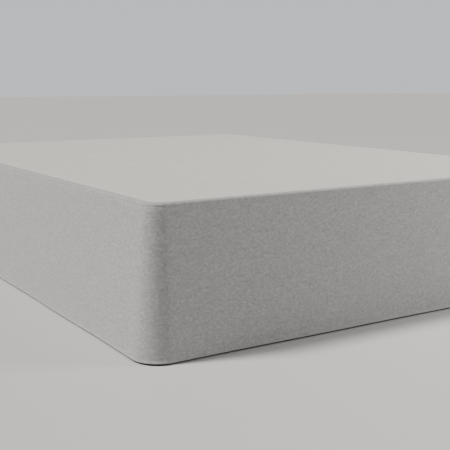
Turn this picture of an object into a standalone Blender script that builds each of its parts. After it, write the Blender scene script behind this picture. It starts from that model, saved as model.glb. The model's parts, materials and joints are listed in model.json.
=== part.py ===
"""Bed skirt on a box spring and a steel bed frame.

Metres, +Z up. The floor is z = 0, the origin is the middle of the bed on the
floor, and the foot of the bed faces -Y.

The skirt is two cloths. The drop is one strip that runs round both sides and
the foot, with a short return at each head corner. Its top edge turns in over
the box spring, and its foot is a doubled hem. The deck lies on the box spring
and is sewn to the drop's turned-in edge.
"""

import math

import bmesh
import bpy

# ---------------------------------------------------------------- sizes
# The whole bed
SKIRT_TOP = 0.381            # top of the turned-in edge above the floor
SKIRT_WIDTH = 1.524          # outside the cloth, at its top edge
SKIRT_LENGTH = 2.032
FIT_GAP = 0.0003             # between pieces that touch
EDGE_CLEARANCE = 0.002       # between hanging cloth and the side it hangs beside

# The drop
CLOTH = 0.002                # cloth and its pressed seam allowance
TURN_IN = 0.015              # top edge turned in over the box spring
ROLL_RADIUS = 0.007          # outer radius where the cloth rolls over the edge
SEAM_WIDTH = 0.0018          # groove of the topstitched seam, just under the roll
SEAM_DEPTH = 0.0005
TOP_CORNER_RADIUS = 0.044    # plan radius of the cloth's corners at the top
HEM_CORNER_RADIUS = 0.070    # the same at the hem, where the corner opens out
SIDE_LEAN = 0.020            # how far the side hems stand outside the top edge
FOOT_LEAN = 0.008            # the same at the foot and at the head returns
HEM_LIFT = 0.0045            # hem above the floor
HEM_HEIGHT = 0.028           # height of the doubled hem
HEM_THICKNESS = 0.003
HEAD_RETURN = 0.080          # straight cloth past each head corner

# The deck
DECK_CLOTH = 0.0015

# The box spring
FRAME_SEAT = 0.1517          # top of the side rails' flanges
BASE_EDGE_RADIUS = 0.006

# The steel frame
ANGLE = 0.038                # both legs of the angle section
STEEL = 0.003
RAIL_LENGTH = 1.920
RAIL_SIDE_GAP = 0.0005       # upright leg of a side rail to the box spring
LEG_RADIUS = 0.015
CENTRE_LEG_RADIUS = 0.0125
LEG_BEVEL = 0.001
GLIDE_RADIUS = 0.025
GLIDE_HEIGHT = 0.014
GLIDE_NECK_RADIUS = 0.018
GLIDE_ROUNDING = 0.003

# How finely the round and long stretches are divided
ROLL_STEPS = 3
CORNER_STEPS = 8
SIDE_STEPS = 26
FOOT_STEPS = 20
TUBE_SIDES = 16
DROP_ROWS = (0.30, 0.58, 0.82)   # shares of the drop where the cloth has a row

# The cross rails and the legs beside them, from foot to head
CROSS_RAILS = (
    # name, y of the upright leg's foot-side face
    ("foot", -0.820),
    ("middle", 0.015),
    ("head", 0.850),
)

# Shallow dips between the places where the hem stands furthest out.
HEM_DIPS = (
    # face, middle of the dip along the face, half its width, depth at the hem
    ("foot", -0.52, 0.20, 0.0014),
    ("foot", -0.02, 0.26, 0.0012),
    ("foot", 0.46, 0.22, 0.0020),
    ("left", -0.70, 0.18, 0.0016),
    ("left", -0.22, 0.24, 0.0022),
    ("left", 0.34, 0.26, 0.0015),
    ("right", -0.62, 0.24, 0.0020),
    ("right", 0.02, 0.30, 0.0014),
    ("right", 0.60, 0.20, 0.0024),
)

# Worked out from the sizes above
TURN_IN_BOTTOM = SKIRT_TOP - CLOTH
BASE_TOP = TURN_IN_BOTTOM - FIT_GAP
BASE_BOTTOM = FRAME_SEAT + FIT_GAP
BASE_INSET = CLOTH + EDGE_CLEARANCE
BASE_WIDTH = SKIRT_WIDTH - 2 * BASE_INSET
BASE_LENGTH = SKIRT_LENGTH - 2 * BASE_INSET
BASE_CORNER_RADIUS = TOP_CORNER_RADIUS - BASE_INSET
DECK_INSET = TURN_IN + FIT_GAP
RAIL_OUTSIDE = BASE_WIDTH / 2 + RAIL_SIDE_GAP + STEEL
RAIL_UNDERSIDE = FRAME_SEAT - STEEL
CROSS_RAIL_TOP = RAIL_UNDERSIDE - FIT_GAP
CROSS_RAIL_HALF = RAIL_OUTSIDE - STEEL
SIDE_LEG_X = RAIL_OUTSIDE - ANGLE / 2
LEG_FOOT = GLIDE_HEIGHT + FIT_GAP


# ------------------------------------------------------------ materials
def make_material(name, colour, roughness, metallic=0.0):
    """A plain Principled material."""
    material = bpy.data.materials.new(name)
    material.use_nodes = True
    shader = material.node_tree.nodes["Principled BSDF"]
    shader.inputs["Base Color"].default_value = (*colour, 1.0)
    shader.inputs["Roughness"].default_value = roughness
    shader.inputs["Metallic"].default_value = metallic
    return material


# -------------------------------------------------------------- helpers
def add_object(name, mesh_data, material, location=(0.0, 0.0, 0.0)):
    """Put a bmesh into the scene as one named object."""
    bmesh.ops.recalc_face_normals(mesh_data, faces=mesh_data.faces)
    mesh = bpy.data.meshes.new(name)
    mesh_data.to_mesh(mesh)
    mesh_data.free()
    mesh.materials.append(material)
    piece = bpy.data.objects.new(name, mesh)
    piece.location = location
    bpy.context.scene.collection.objects.link(piece)
    return piece


def add_bevel(piece, width, segments):
    """Round the sharp edges of a piece."""
    bevel = piece.modifiers.new("rounded_edges", "BEVEL")
    bevel.width = width
    bevel.segments = segments
    bevel.limit_method = "ANGLE"
    bevel.angle_limit = math.radians(40)


def shade(piece):
    """Smooth the round faces and keep the corners sharp."""
    piece.data.shade_smooth()
    piece.data.set_sharp_from_angle(angle=math.radians(35))


def plan_outline(half_width, half_length, radius):
    """Closed plan of a rounded rectangle, as (x, y) points."""
    centres = (
        (half_width - radius, half_length - radius),
        (radius - half_width, half_length - radius),
        (radius - half_width, radius - half_length),
        (half_width - radius, radius - half_length),
    )
    points = []
    for quarter, (x, y) in enumerate(centres):
        for step in range(CORNER_STEPS + 1):
            angle = math.pi / 2 * (quarter + step / CORNER_STEPS)
            points.append((x + radius * math.cos(angle), y + radius * math.sin(angle)))
    return points


def plan_slab(half_width, half_length, radius, bottom, thickness):
    """A rounded rectangle extruded upwards."""
    mesh_data = bmesh.new()
    outline = plan_outline(half_width, half_length, radius)
    ring = [mesh_data.verts.new((x, y, bottom)) for x, y in outline]
    floor_face = mesh_data.faces.new(ring)
    raised = bmesh.ops.extrude_face_region(mesh_data, geom=[floor_face])
    top_verts = [item for item in raised["geom"] if isinstance(item, bmesh.types.BMVert)]
    bmesh.ops.translate(mesh_data, verts=top_verts, vec=(0.0, 0.0, thickness))
    return mesh_data


# ------------------------------------------------------------- the drop
def drop_path(half_width, half_length, radius):
    """Walk round the bed from one head return to the other.

    Each station is (x, y, outward x, outward y, face, place along the face),
    and every path has the same stations, so two of them can be lofted.
    """
    in_x = half_width - radius
    in_y = half_length - radius
    stations = []

    def straight(start, end, normal, face, steps, first=0):
        for step in range(first, steps):
            share = step / steps
            x = start[0] + (end[0] - start[0]) * share
            y = start[1] + (end[1] - start[1]) * share
            along = x if face == "foot" else y
            stations.append((x, y, *normal, face, along))

    def corner(centre, start_angle):
        for step in range(CORNER_STEPS):
            angle = math.radians(start_angle + 90 * step / CORNER_STEPS)
            out = (math.cos(angle), math.sin(angle))
            stations.append((centre[0] + radius * out[0], centre[1] + radius * out[1],
                             *out, "corner", 0.0))

    straight((HEAD_RETURN - in_x, half_length), (-in_x, half_length), (0.0, 1.0), "head", 1)
    corner((-in_x, in_y), 90)
    straight((-half_width, in_y), (-half_width, -in_y), (-1.0, 0.0), "left", SIDE_STEPS)
    corner((-in_x, -in_y), 180)
    straight((-in_x, -half_length), (in_x, -half_length), (0.0, -1.0), "foot", FOOT_STEPS)
    corner((in_x, -in_y), 270)
    straight((half_width, -in_y), (half_width, in_y), (1.0, 0.0), "right", SIDE_STEPS)
    corner((in_x, in_y), 0)
    straight((in_x, half_length), (in_x - HEAD_RETURN, half_length), (0.0, 1.0), "head", 1)
    stations.append((in_x - HEAD_RETURN, half_length, 0.0, 1.0, "head", 0.0))
    return stations


def hem_dip(face, along):
    """How far the hem swings in at a place along a face."""
    depth = 0.0
    for dip_face, middle, half_width, deepest in HEM_DIPS:
        offset = abs(along - middle)
        if dip_face == face and offset < half_width:
            depth += deepest * 0.5 * (1 + math.cos(math.pi * offset / half_width))
    return depth


def drop_section():
    """The strip's cross-section as (share of the drop, inward offset, height).

    It starts at the turned-in edge, goes down the outer face to the hem and
    comes back up the inner face.
    """
    roll_bottom = SKIRT_TOP - ROLL_RADIUS
    fall = roll_bottom - HEM_LIFT
    seam_share = SEAM_WIDTH / fall
    hem_top = HEM_LIFT + HEM_HEIGHT
    hem_share = (roll_bottom - hem_top) / fall

    outer = [(0.0, TURN_IN, SKIRT_TOP)]
    inner = [(0.0, TURN_IN, TURN_IN_BOTTOM)]
    for step in range(ROLL_STEPS + 1):
        angle = math.pi / 2 * (1 - step / ROLL_STEPS)
        for points, radius in ((outer, ROLL_RADIUS), (inner, ROLL_RADIUS - CLOTH)):
            inward = ROLL_RADIUS - radius * math.cos(angle)
            points.append((0.0, inward, roll_bottom + radius * math.sin(angle)))
    outer.append((seam_share / 2, SEAM_DEPTH, roll_bottom - SEAM_WIDTH / 2))
    outer.append((seam_share, 0.0, roll_bottom - SEAM_WIDTH))
    for share in DROP_ROWS:
        height = roll_bottom - share * fall
        outer.append((share, 0.0, height))
        inner.append((share, CLOTH, height))
    outer.append((hem_share, 0.0, hem_top))
    inner.append((hem_share, CLOTH, hem_top))
    inner.append((hem_share, HEM_THICKNESS, hem_top))
    outer.append((1.0, 0.0, HEM_LIFT))
    inner.append((1.0, HEM_THICKNESS, HEM_LIFT))
    return outer + inner[::-1]


def build_drop(material):
    """Loft the cross-section round the bed, from the top path to the hem path."""
    top_path = drop_path(SKIRT_WIDTH / 2, SKIRT_LENGTH / 2, TOP_CORNER_RADIUS)
    hem_path = drop_path(SKIRT_WIDTH / 2 + SIDE_LEAN, SKIRT_LENGTH / 2 + FOOT_LEAN,
                         HEM_CORNER_RADIUS)
    section = drop_section()
    mesh_data = bmesh.new()
    loops = []
    for top, hem in zip(top_path, hem_path):
        out_x, out_y, face, along = hem[2:]
        dip = hem_dip(face, along)
        loop = []
        for share, inward, height in section:
            offset = inward + dip * share
            x = top[0] + (hem[0] - top[0]) * share - out_x * offset
            y = top[1] + (hem[1] - top[1]) * share - out_y * offset
            loop.append(mesh_data.verts.new((x, y, height)))
        loops.append(loop)
    for loop, following in zip(loops, loops[1:]):
        for index in range(len(section)):
            after = (index + 1) % len(section)
            mesh_data.faces.new((loop[index], loop[after], following[after], following[index]))
    mesh_data.faces.new(loops[0])
    mesh_data.faces.new(loops[-1])
    drop = add_object("skirt_drop", mesh_data, material)
    shade(drop)
    return drop


# ------------------------------------------------------ deck and box spring
def build_deck(material):
    """The sheet between the turned-in edges, on the box spring."""
    mesh_data = plan_slab(SKIRT_WIDTH / 2 - DECK_INSET, SKIRT_LENGTH / 2 - DECK_INSET,
                          TOP_CORNER_RADIUS - DECK_INSET, TURN_IN_BOTTOM, DECK_CLOTH)
    return add_object("skirt_deck", mesh_data, material)


def build_box_spring(material):
    """The upholstered base that carries the cloth."""
    mesh_data = plan_slab(BASE_WIDTH / 2, BASE_LENGTH / 2, BASE_CORNER_RADIUS,
                          BASE_BOTTOM, BASE_TOP - BASE_BOTTOM)
    base = add_object("box_spring", mesh_data, material)
    add_bevel(base, BASE_EDGE_RADIUS, 2)
    shade(base)
    return base


# ---------------------------------------------------------- steel frame
def angle_bar(section, length, along):
    """Extrude a six-point angle section, centred on its own middle."""
    mesh_data = bmesh.new()
    ring = []
    for across, height in section:
        if along == "y":
            ring.append(mesh_data.verts.new((across, -length / 2, height)))
        else:
            ring.append(mesh_data.verts.new((-length / 2, across, height)))
    end_face = mesh_data.faces.new(ring)
    raised = bmesh.ops.extrude_face_region(mesh_data, geom=[end_face])
    far_verts = [item for item in raised["geom"] if isinstance(item, bmesh.types.BMVert)]
    shift = (0.0, length, 0.0) if along == "y" else (length, 0.0, 0.0)
    bmesh.ops.translate(mesh_data, verts=far_verts, vec=shift)
    return mesh_data


def build_side_rail(name, side, material):
    """A rail whose flange carries the base and whose upright leg keeps it in place."""
    section = (
        (0.0, 0.0),
        (-side * ANGLE, 0.0),
        (-side * ANGLE, STEEL),
        (-side * STEEL, STEEL),
        (-side * STEEL, ANGLE),
        (0.0, ANGLE),
    )
    return add_object(name, angle_bar(section, RAIL_LENGTH, "y"), material,
                      (side * RAIL_OUTSIDE, 0.0, RAIL_UNDERSIDE))


def build_cross_rail(name, y, material):
    """A rail under the side rails' flanges, its upright leg hanging down."""
    section = (
        (0.0, 0.0),
        (0.0, -ANGLE),
        (STEEL, -ANGLE),
        (STEEL, -STEEL),
        (ANGLE, -STEEL),
        (ANGLE, 0.0),
    )
    return add_object(name, angle_bar(section, 2 * CROSS_RAIL_HALF, "x"), material,
                      (0.0, y, CROSS_RAIL_TOP))


def build_leg(name, x, y, radius, top, material):
    """A capped tube from its glide up to the rail."""
    mesh_data = bmesh.new()
    length = top - LEG_FOOT
    bmesh.ops.create_cone(mesh_data, cap_ends=True, segments=TUBE_SIDES,
                          radius1=radius, radius2=radius, depth=length)
    leg = add_object(name, mesh_data, material, (x, y, LEG_FOOT + length / 2))
    add_bevel(leg, LEG_BEVEL, 1)
    shade(leg)
    return leg


def build_glide(name, x, y, material):
    """A turned foot that stands on the floor."""
    profile = (
        (0.0, GLIDE_HEIGHT),
        (GLIDE_NECK_RADIUS, GLIDE_HEIGHT),
        (GLIDE_RADIUS, GLIDE_HEIGHT / 2),
        (GLIDE_RADIUS, GLIDE_ROUNDING),
        (GLIDE_RADIUS - GLIDE_ROUNDING, 0.0),
        (0.0, 0.0),
    )
    mesh_data = bmesh.new()
    verts = [mesh_data.verts.new((radius, 0.0, height)) for radius, height in profile]
    edges = [mesh_data.edges.new(pair) for pair in zip(verts, verts[1:])]
    bmesh.ops.spin(mesh_data, geom=verts + edges, cent=(0.0, 0.0, 0.0), axis=(0.0, 0.0, 1.0),
                   angle=2 * math.pi, steps=TUBE_SIDES, use_merge=True)
    bmesh.ops.remove_doubles(mesh_data, verts=mesh_data.verts, dist=1e-6)
    glide = add_object(name, mesh_data, material, (x, y, 0.0))
    shade(glide)
    return glide


def build_frame(steel, plastic):
    """Rails, cross rails, legs and glides."""
    build_side_rail("side_rail_left", -1, steel)
    build_side_rail("side_rail_right", 1, steel)
    for place, y in CROSS_RAILS:
        build_cross_rail(f"cross_rail_{place}", y, steel)
        beside_rail = y - LEG_RADIUS - FIT_GAP
        under_flange = y + STEEL + CENTRE_LEG_RADIUS + FIT_GAP
        for side, label in ((-1, "left"), (1, "right")):
            x = side * SIDE_LEG_X
            build_leg(f"side_leg_{label}_{place}", x, beside_rail, LEG_RADIUS,
                      RAIL_UNDERSIDE - FIT_GAP, steel)
            build_glide(f"glide_{label}_{place}", x, beside_rail, plastic)
        build_leg(f"centre_leg_{place}", 0.0, under_flange, CENTRE_LEG_RADIUS,
                  CROSS_RAIL_TOP - STEEL - FIT_GAP, steel)
        build_glide(f"glide_centre_{place}", 0.0, under_flange, plastic)


# ----------------------------------------------------------------- main
def main():
    for leftover in list(bpy.data.objects):
        bpy.data.objects.remove(leftover, do_unlink=True)

    drop_cloth = make_material("drop_cloth", (0.34, 0.335, 0.33), 0.9)
    deck_cloth = make_material("deck_cloth", (0.72, 0.70, 0.66), 0.9)
    ticking = make_material("ticking", (0.62, 0.60, 0.56), 0.85)
    steel = make_material("steel_paint", (0.06, 0.055, 0.05), 0.45, 0.3)
    plastic = make_material("glide_plastic", (0.03, 0.03, 0.03), 0.5)

    build_drop(drop_cloth)
    build_deck(deck_cloth)
    build_box_spring(ticking)
    build_frame(steel, plastic)


main()
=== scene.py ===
"""Dresses a bed skirt that hangs over a box spring on a steel bed frame.

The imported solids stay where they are. The drop, the deck and the box spring are
replaced by finer pieces in the same places, the seams are sewn stitch by stitch,
and the steel frame keeps its solids and gets its paint and rivets.
"""

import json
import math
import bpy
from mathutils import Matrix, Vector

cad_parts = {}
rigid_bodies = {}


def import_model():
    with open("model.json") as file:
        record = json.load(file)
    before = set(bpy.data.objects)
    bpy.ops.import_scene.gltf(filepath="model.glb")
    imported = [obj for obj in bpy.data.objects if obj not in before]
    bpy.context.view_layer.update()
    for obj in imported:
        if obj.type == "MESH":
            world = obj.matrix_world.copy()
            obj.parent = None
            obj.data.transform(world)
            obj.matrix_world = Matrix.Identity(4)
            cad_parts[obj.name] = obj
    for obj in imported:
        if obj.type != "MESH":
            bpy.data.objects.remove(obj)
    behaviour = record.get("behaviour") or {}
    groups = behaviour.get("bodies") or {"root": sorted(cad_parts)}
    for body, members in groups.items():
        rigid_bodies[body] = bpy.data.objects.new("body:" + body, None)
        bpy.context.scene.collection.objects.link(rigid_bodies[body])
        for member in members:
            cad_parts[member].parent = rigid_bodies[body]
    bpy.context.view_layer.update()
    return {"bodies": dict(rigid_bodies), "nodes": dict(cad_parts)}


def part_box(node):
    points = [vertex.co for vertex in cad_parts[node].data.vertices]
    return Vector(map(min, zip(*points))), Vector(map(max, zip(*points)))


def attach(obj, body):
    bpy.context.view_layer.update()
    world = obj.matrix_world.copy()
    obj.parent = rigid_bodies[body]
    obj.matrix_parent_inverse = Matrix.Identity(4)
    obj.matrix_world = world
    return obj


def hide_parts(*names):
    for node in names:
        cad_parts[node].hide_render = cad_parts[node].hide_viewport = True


bl_info = {
    "name": "Bed skirt",
    "version": (1, 0, 0),
    "blender": (4, 5, 0),
    "location": "3D View > Sidebar > Bed skirt",
    "description": "Hangs a tailored bed skirt on its bed base and sets a plain studio round it",
    "category": "Add Mesh",
}

import bpy
from bpy.props import FloatProperty, FloatVectorProperty, IntProperty, PointerProperty
from mathutils import Euler, Vector, noise

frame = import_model()

# ------------------------------------------------------- fixed by the frame
BODY = "root"
DROP_LOW, DROP_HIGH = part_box("skirt_drop")
DECK_LOW, DECK_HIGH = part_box("skirt_deck")
BASE_LOW, BASE_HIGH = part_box("box_spring")
CROSS_RAILS = ("cross_rail_foot", "cross_rail_middle", "cross_rail_head")

# ------------------------------------------------------------ fixed shapes
# Faces of the bed, anticlockwise seen from above, each after the corner of its number.
FACES = (
    # name, way out
    ("head", (0.0, 1.0)),
    ("left", (-1.0, 0.0)),
    ("foot", (0.0, -1.0)),
    ("right", (1.0, 0.0)),
)

# Shallow dips between the places where the hem stands furthest out.
HEM_DIPS = (
    # face, middle of the dip along the face, half its width, depth at the hem
    ("foot", -0.52, 0.20, 0.0014),
    ("foot", -0.02, 0.26, 0.0012),
    ("foot", 0.46, 0.22, 0.0020),
    ("left", -0.70, 0.18, 0.0016),
    ("left", -0.22, 0.24, 0.0022),
    ("left", 0.34, 0.26, 0.0015),
    ("right", -0.62, 0.24, 0.0020),
    ("right", 0.02, 0.30, 0.0014),
    ("right", 0.60, 0.20, 0.0024),
)

# Soft creases in the hanging cloth, as shallow troughs that fade out at both ends.
DROP_CREASES = (
    # face, along the face, lean from top to hem, half width, depth, first and last share
    ("foot", -0.640, 0.030, 0.016, 0.00035, 0.72, 1.00),
    ("foot", -0.205, -0.010, 0.030, 0.00030, 0.10, 0.80),
    ("foot", 0.300, 0.015, 0.026, 0.00040, 0.35, 1.00),
    ("left", -0.560, 0.012, 0.024, 0.00035, 0.15, 0.90),
    ("left", 0.120, -0.020, 0.030, 0.00045, 0.30, 1.00),
    ("left", 0.700, 0.010, 0.022, 0.00035, 0.10, 0.75),
    ("right", -0.450, -0.015, 0.028, 0.00040, 0.25, 1.00),
    ("right", 0.260, 0.020, 0.024, 0.00035, 0.10, 0.85),
    ("right", 0.830, -0.010, 0.026, 0.00040, 0.40, 1.00),
)
CREASE_FADE = 0.15  # share of the drop over which a crease begins or ends

# Ripples of the hanging cloth, which begin between two shares of the drop.
DROP_RIPPLES = (
    # width, height in shares of the drop, start of the noise, weight
    (0.30, 1.3, 3.1, 1.0),
    (0.085, 0.45, 7.7, 0.22),
)
RIPPLES_BEGIN = (0.02, 0.30)

# How the outside turns in at the top seam.
SEAM_GROOVE = (
    # share of the groove's width, share of its depth
    (0.25, 0.45),
    (0.5, 1.0),
    (0.75, 0.45),
    (1.0, 0.0),
)

# How the outside rolls out above the fold at the hem.
HEM_ROLL = (
    # height in halves of the hem's thickness, share of the roll
    (8.0, 0.0),
    (5.8, 0.0),
    (4.8, 0.10),
    (3.8, 0.34),
    (2.8, 0.60),
    (1.9, 0.84),
    (1.0, 1.0),
)

# Pressed folds left in the deck from its packing, as low ridges.
DECK_FOLDS = (
    # axis that the fold crosses, place on that axis, half width, height
    ("x", -0.375, 0.028, 0.0036),
    ("x", 0.002, 0.025, 0.0030),
    ("x", 0.381, 0.030, 0.0040),
    ("y", -0.672, 0.028, 0.0038),
    ("y", -0.335, 0.025, 0.0030),
    ("y", 0.004, 0.030, 0.0042),
    ("y", 0.340, 0.025, 0.0030),
    ("y", 0.668, 0.028, 0.0036),
)

# Soft creases in the deck where it lies loose, as low ridges.
DECK_CREASES = (
    # middle of the crease, its direction in degrees, length, half width, height
    (-0.520, -0.780, 38, 0.40, 0.022, 0.0040),
    (-0.560, -0.640, 52, 0.30, 0.020, 0.0030),
    (0.500, -0.820, -42, 0.38, 0.024, 0.0040),
    (0.570, -0.560, -61, 0.26, 0.020, 0.0028),
    (0.180, -0.500, 12, 0.46, 0.026, 0.0034),
    (-0.230, -0.170, 68, 0.42, 0.025, 0.0036),
    (0.540, 0.140, 83, 0.36, 0.024, 0.0032),
    (-0.580, 0.260, -74, 0.40, 0.024, 0.0036),
    (0.120, 0.520, -18, 0.50, 0.026, 0.0038),
    (0.550, 0.800, 47, 0.34, 0.022, 0.0032),
    (-0.500, 0.830, -36, 0.36, 0.022, 0.0036),
)
DECK_RISE = 0.016  # height that the deck's relief nears but never reaches

# Soft wrinkles all over the deck.
DECK_WRINKLES = (
    # width, length, start of the noise, weight
    (0.20, 0.28, 11.3, 0.5),
    (0.075, 0.10, 4.9, 0.3),
)

# Soft patches in a heathered cloth, stretched along the cloth by 1 / PATCH_STRETCH.
CLOTH_PATCHES = (
    # patches per metre, weight
    (230.0, 2.3),
    (125.0, 2.8),
    (48.0, 0.9),
    (20.0, 0.55),
)
PATCH_STRETCH = 0.8

UV_START = (1.0, 1.5)  # keeps the map of a flat sheet above zero

# Soft lights near the foot of the bed, turned to one place on its face.
FOOT_LIGHTS = (
    # name, place, width, height, the setting with its power
    ("foot_light", (2.6, -3.0, 2.2), 1.4, 1.2, "fill_power"),
    ("low_light", (1.8, -2.2, 1.0), 0.9, 0.8, "low_power"),
)
LIT_PLACE = Vector((0.6, DROP_LOW.y, 0.15))
LAMP_SHADE = (1.0, 0.99, 0.975)
WINDOW_SHADE = (1.0, 0.985, 0.96)
HORIZON = (0.06, 0.34)  # rise above the horizon where its paler band begins and ends to fade


# ------------------------------------------------------------- settings
def length(name, description, default, **limits):
    """A size in metres."""
    return FloatProperty(name=name, description=description, default=default,
                         unit="LENGTH", subtype="DISTANCE", precision=5, **limits)


def rotation(name, description, degrees):
    """An angle, given in degrees."""
    return FloatProperty(name=name, description=description, default=math.radians(degrees),
                         unit="ROTATION", subtype="ANGLE")


def power(name, description, default, **kind):
    """The strength of a light."""
    return FloatProperty(name=name, description=description, default=default, min=0.0, **kind)


def colour(name, description, default):
    """A linear colour."""
    return FloatVectorProperty(name=name, description=description, default=default,
                               size=3, subtype="COLOR", min=0.0, max=1.0)


class DropSettings(bpy.types.PropertyGroup):
    """Sizes and colours of the hanging cloth."""

    side_lean: length("Side lean", "How far the side hems stand outside the top edge", 0.020)
    foot_lean: length("Foot lean", "The same at the foot and the head returns", 0.008)
    top_radius: length("Top corner radius", "Plan radius of the corners at the top", 0.044)
    hem_radius: length("Hem corner radius", "Plan radius of the corners at the hem", 0.070)
    head_return: length("Head return", "Straight cloth past each head corner", 0.080)
    cloth: length("Cloth", "Thickness of the hanging cloth", 0.002)
    turn_in: length("Turn-in", "Width of the top edge turned in over the base", 0.015)
    roll: length("Roll", "Outer radius where the cloth rolls over the edge", 0.007)
    seam_width: length("Seam groove", "Width of the groove that the top seam pulls in", 0.0026)
    seam_depth: length("Seam depth", "Depth of that groove", 0.0006)
    hem_height: length("Hem height", "Height of the doubled hem", 0.028)
    hem_cloth: length("Hem thickness", "Thickness of the doubled hem", 0.003)
    hem_roll: length("Hem roll", "How far the fold at the hem stands out", 0.0020)
    side_hem: length("End hem", "Width of the narrow hems at both ends of the strip", 0.012)
    spacing: length("Mesh spacing", "Spacing of the cloth's mesh", 0.014, min=0.004)
    ripple: length("Ripple", "Height of the broad ripples of the hanging cloth", 0.0007)
    shade: colour("Cloth colour", "Middle tone of the heathered cloth", (0.300, 0.296, 0.289))
    thread_pitch: length("Thread pitch", "Distance between two threads of the weave", 0.00085)
    heather: FloatProperty(name="Heather", description="How much the threads differ in tone",
                           default=0.36, min=0.0, max=1.0, subtype="FACTOR")


class DeckSettings(bpy.types.PropertyGroup):
    """Sizes and colours of the sheet under the mattress."""

    corner: length("Corner radius", "Plan radius of the deck's corners", 0.0287)
    cloth: length("Cloth", "Thickness of the deck", 0.0012)
    spacing: length("Mesh spacing", "Spacing of the deck's mesh", 0.011, min=0.004)
    wrinkle: length("Wrinkle", "Height of the soft wrinkles between the folds", 0.0030)
    pucker: length("Pucker", "Height of the small pulls beside the seam", 0.0016)
    edge_margin: length("Flat margin", "Width beside the seam where the deck lies flat", 0.035)
    head_hem: length("Head hem", "Width of the doubled hem across the head end", 0.020)
    shade: colour("Cloth colour", "Colour of the deck", (0.475, 0.455, 0.415))
    thread_pitch: length("Thread pitch", "Distance between two threads of the weave", 0.0005)


class SewingSettings(bpy.types.PropertyGroup):
    """Sizes and colours of the stitches."""

    stitch: length("Stitch", "Length of a stitch that shows", 0.0026)
    gap: length("Gap", "Gap between two stitches", 0.0008)
    thread: length("Thread", "Radius of the sewing thread", 0.00028)
    edge_line: length("Edge line", "Seam on the turn-in, from its inner edge", 0.0035)
    hem_line: length("Hem line", "Hem seam below the hem's upper edge, inside", 0.0022)
    hem_stitch: length("Hem stitch", "Length of a hem stitch inside", 0.0048)
    end_gap: length("End gap", "Where a seam stops short of the strip's cut ends", 0.0045)
    end_line: length("End line", "End hem's seam, from that hem's inner edge", 0.002)
    sides: IntProperty(name="Thread sides", description="Sides of one stitch",
                       default=6, min=4, max=12)
    shade: colour("Thread colour", "Colour of the thread", (0.33, 0.325, 0.32))
    deck_shade: colour("Deck thread colour", "Colour of the thread in the deck's hem",
                       (0.42, 0.40, 0.36))


class BaseSettings(bpy.types.PropertyGroup):
    """Sizes and colours of the box spring's cover."""

    corner: length("Corner radius", "Plan radius of the box spring's corners", 0.040)
    edge: length("Edge radius", "Rounding where the welts sit", 0.007)
    welt: length("Welt", "Radius of the welts", 0.0026)
    crown: length("Crown", "How far the side panel swells", 0.0009)
    recess: length("Recess", "Depth of the cloth panel underneath", 0.0008)
    margin: length("Margin", "Width of the cover turned in underneath", 0.045)
    side_shade: colour("Border colour", "Colour of the ticking", (0.60, 0.585, 0.55))
    under_shade: colour("Underside colour", "Colour of the cloth underneath", (0.05, 0.05, 0.052))
    thread_pitch: length("Thread pitch", "Distance between two threads of the ticking", 0.0007)


class SteelSettings(bpy.types.PropertyGroup):
    """Sizes and colours of the steel frame's finish."""

    rivet: length("Rivet", "Radius of a rivet's head", 0.0055)
    rivet_height: length("Rivet height", "Height of a rivet's head", 0.0026)
    paint: colour("Paint", "Colour of the painted steel", (0.085, 0.080, 0.073))
    plastic: colour("Glides", "Colour of the plastic glides", (0.045, 0.045, 0.047))


class StageSettings(bpy.types.PropertyGroup):
    """Camera, floor and light."""

    eye: FloatVectorProperty(name="Camera", description="Place of the camera",
                             default=(-1.6191, -2.6853, 0.6535), size=3,
                             unit="LENGTH", subtype="TRANSLATION")
    turn: rotation("Turn", "Camera turned right from the bed's length", 32.284)
    tilt: rotation("Tilt", "Camera tilted down", 9.706)
    lens: FloatProperty(name="Lens", description="Focal length in millimetres on a 36 mm frame",
                        default=67.684, min=10.0)
    floor: colour("Floor", "Colour of the floor", (0.46, 0.452, 0.440))
    air: colour("Air", "Colour of the light all round", (0.90, 0.92, 0.95))
    air_power: power("Air strength", "Strength of the light all round", 0.12)
    band_power: power("Horizon strength", "Strength near the horizon", 0.80)
    key_way: FloatVectorProperty(name="Window direction", description="Way the main light falls",
                                 default=(0.618, -0.177, -0.766), size=3, subtype="DIRECTION")
    key_power: power("Window strength", "Strength of the main light", 5.95)
    key_spread: rotation("Window spread", "How wide the main light is", 12.0)
    fill_power: power("Fill strength", "Power of the light at the foot", 75.0,
                      subtype="POWER", unit="POWER")
    low_power: power("Low fill strength", "Power of the low light there", 27.0,
                     subtype="POWER", unit="POWER")


# -------------------------------------------------------- node-tree helpers
def add_node(tree, kind, inputs=None, **settings):
    """A new node, with its settings and with what its inputs are fed."""
    node = tree.nodes.new(kind)
    for setting, value in settings.items():
        setattr(node, setting, value)
    for socket, value in (inputs or {}).items():
        feed(tree, node.inputs[socket], value)
    return node


def feed(tree, socket, value):
    """Link a socket to another one, or give it a plain value."""
    if isinstance(value, bpy.types.NodeSocket):
        tree.links.new(value, socket)
    else:
        socket.default_value = value


def reckon(tree, operation, *values, clamp=False):
    """The output of a Math node."""
    return add_node(tree, "ShaderNodeMath", dict(enumerate(values)),
                    operation=operation, use_clamp=clamp).outputs[0]


def times(tree, value, factor):
    """One value times another."""
    return reckon(tree, "MULTIPLY", value, factor)


def combine(tree, x, y, z=0.0):
    """The output of a Combine XYZ node."""
    return add_node(tree, "ShaderNodeCombineXYZ", {0: x, 1: y, 2: z}).outputs[0]


def noise_node(tree, vector, scale, detail=2.0, roughness=0.5):
    """A Noise texture's value, from 0 to 1 about 0.5."""
    return add_node(tree, "ShaderNodeTexNoise", {
        "Vector": vector, "Scale": scale, "Detail": detail, "Roughness": roughness,
    }).outputs["Fac"]


def varied(tree, middle, texture, amount):
    """A value that a texture about 0.5 moves up and down by an amount."""
    return reckon(tree, "MULTIPLY_ADD", reckon(tree, "SUBTRACT", texture, 0.5), amount, middle)


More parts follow.
